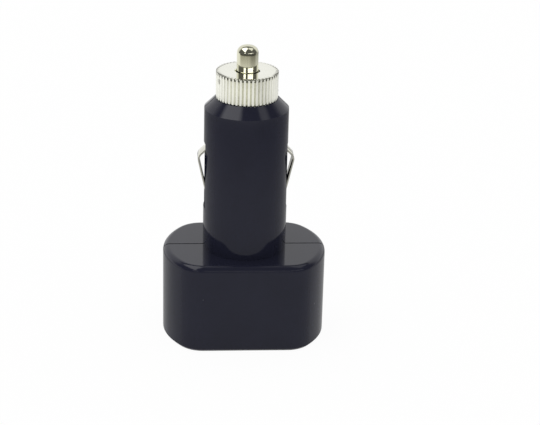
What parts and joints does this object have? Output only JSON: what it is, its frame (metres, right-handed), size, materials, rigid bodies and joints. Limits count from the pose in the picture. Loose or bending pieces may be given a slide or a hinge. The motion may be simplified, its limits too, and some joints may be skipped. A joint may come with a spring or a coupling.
{
  "type": "cigarette lighter voltmeter",
  "caption": "Small black plug-in voltmeter for a car accessory socket, with a window in its wide head, sprung side contacts, a knurled metal cap and a sprung centre pin.",
  "frame": {"origin": "middle of the display rim, on the plane that the plug stands on", "axes": "+Z along the plug axis from the display to the centre pin, X across the wide side of the head, Y from the front half of the housing to the rear half"},
  "size_m": [0.0394, 0.0284, 0.0726],
  "materials": {
    "black_abs": "polished black moulding",
    "smoked_window": "dark red tinted, clear",
    "satin_nickel": "satin nickel plate",
    "bright_nickel": "bright nickel plate",
    "spring_steel": "drawn wire",
    "sheet_brass": "rolled sheet",
    "tinned_metal": "tin plated",
    "clear_glass": "clear",
    "red_insulation": "soft satin",
    "black_insulation": "soft satin",
    "green_board": "solder mask",
    "grey_case": "moulded",
    "milky_resin": "cast",
    "chip_black": "moulded",
    "can_aluminium": "drawn can",
    "dark_ceramic": "glazed black",
    "tan_ceramic": "fired"
  },
  "bodies": {
    "housing": {"housing_front": "black_abs", "housing_rear": "black_abs", "display_window": "smoked_window", "contact_spring": "spring_steel", "spring_seat": "sheet_brass", "positive_lead": "red_insulation", "negative_lead": "black_insulation", "ground_jumper": "black_insulation", "circuit_board": "green_board", "display_case": "grey_case", "display_segments": "milky_resin", "display_base": "green_board", "display_pins": "tinned_metal", "controller_chip": "chip_black", "controller_leads": "tinned_metal", "capacitor_base": "chip_black", "capacitor_can": "can_aluminium", "regulator": "chip_black", "regulator_tab": "tinned_metal", "diode": "chip_black", "diode_leads": "tinned_metal", "resistor_1": "dark_ceramic", "resistor_2": "dark_ceramic", "resistor_3": "dark_ceramic", "resistor_4": "dark_ceramic", "resistor_5": "dark_ceramic", "resistor_6": "dark_ceramic", "filter_capacitor_1": "tan_ceramic", "filter_capacitor_2": "tan_ceramic"},
    "cap": {"knurled_cap": "satin_nickel"},
    "tip": {"tip_contact": "bright_nickel", "fuse_cap_upper": "tinned_metal", "fuse_tube": "clear_glass", "fuse_wire": "tinned_metal", "fuse_cap_lower": "tinned_metal"},
    "left_contact": {"side_contact_left": "bright_nickel"},
    "right_contact": {"side_contact_right": "bright_nickel"}
  },
  "joints": [
    {"name": "cap_unscrew", "type": "slide", "parent": "housing", "child": "cap", "axis": [0, 0, 1], "range_m": [0, 0.006]},
    {"name": "tip_press", "type": "slide", "parent": "cap", "child": "tip", "axis": [0, 0, 1], "range_m": [-0.0035, 0], "stiffness_N_per_m": 800, "springref_m": 0.004, "deforming": ["contact_spring"]},
    {"name": "left_flex", "type": "hinge", "parent": "housing", "child": "left_contact", "pos_m": [-0.0058, 0, 0.0329], "axis": [0, 1, 0], "range_deg": [0, 8], "stiffness_Nm_per_rad": 0.4},
    {"name": "right_flex", "type": "hinge", "parent": "housing", "child": "right_contact", "pos_m": [0.0058, 0, 0.0329], "axis": [0, -1, 0], "range_deg": [0, 8], "stiffness_Nm_per_rad": 0.4}
  ]
}
